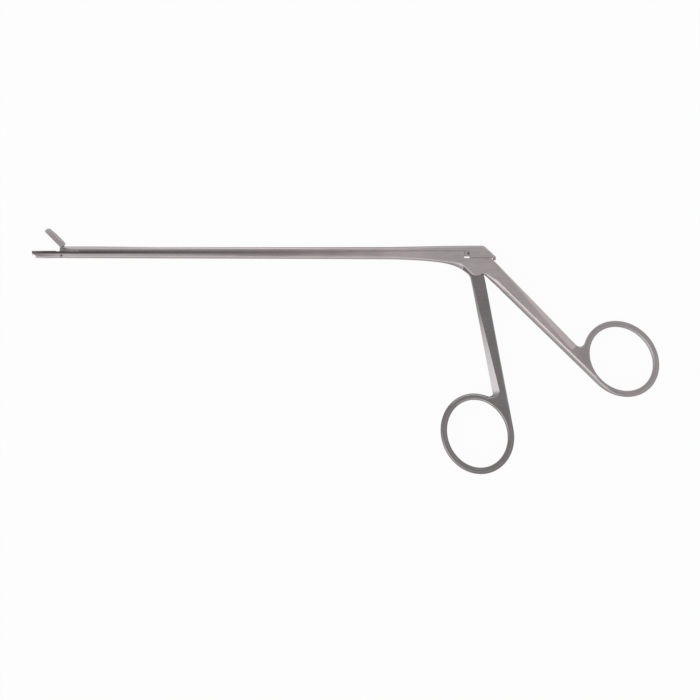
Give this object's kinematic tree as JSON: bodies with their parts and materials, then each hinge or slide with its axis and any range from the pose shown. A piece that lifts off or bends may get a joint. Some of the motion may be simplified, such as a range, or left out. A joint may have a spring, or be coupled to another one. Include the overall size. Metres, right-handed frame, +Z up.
{
  "type": "disc rongeur",
  "caption": "Slim surgical bone and disc punch with a sliding shaft, a hinged cup jaw at the tip and two finger ring handles.",
  "frame": {"origin": "centre of the footprint, on the surface that the instrument lies on", "axes": "+X along the shaft from the jaws to the rear handle, +Y from the rings up to the slide, +Z up out of the surface"},
  "size_m": [0.254, 0.0994, 0.0064],
  "materials": {
    "satin_stainless": "satin",
    "dark_satin_stainless": "satin",
    "turned_pin_steel": "turned"
  },
  "bodies": {
    "frame": {"frame": "satin_stainless", "pivot_screw": "turned_pin_steel", "jaw_pivot_pin": "turned_pin_steel"},
    "slide": {"slide": "satin_stainless", "drive_pin": "turned_pin_steel", "jaw_link_pin": "turned_pin_steel", "web_pin": "turned_pin_steel"},
    "upper_jaw": {"upper_jaw": "satin_stainless"},
    "finger_handle": {"finger_handle": "dark_satin_stainless"}
  },
  "joints": [
    {"name": "handle_squeeze", "type": "hinge", "parent": "frame", "child": "finger_handle", "pos_m": [0.05299, 0.03384, 0.0032], "axis": [0, 0, 1], "range_deg": [0, 22.7]},
    {"name": "slide_travel", "type": "slide", "parent": "frame", "child": "slide", "axis": [-1, 0, 0], "range_m": [0, 0.00225]},
    {"name": "jaw_close", "type": "hinge", "parent": "frame", "child": "upper_jaw", "pos_m": [-0.11501, 0.03874, 0.0032], "axis": [0, 0, 1], "range_deg": [0, 45]}
  ],
  "couplings": [
    {"joint": "slide_travel", "follows": "handle_squeeze", "m_per_rad": 0.0056745},
    {"joint": "jaw_close", "follows": "handle_squeeze", "ratio": 1.9808}
  ]
}
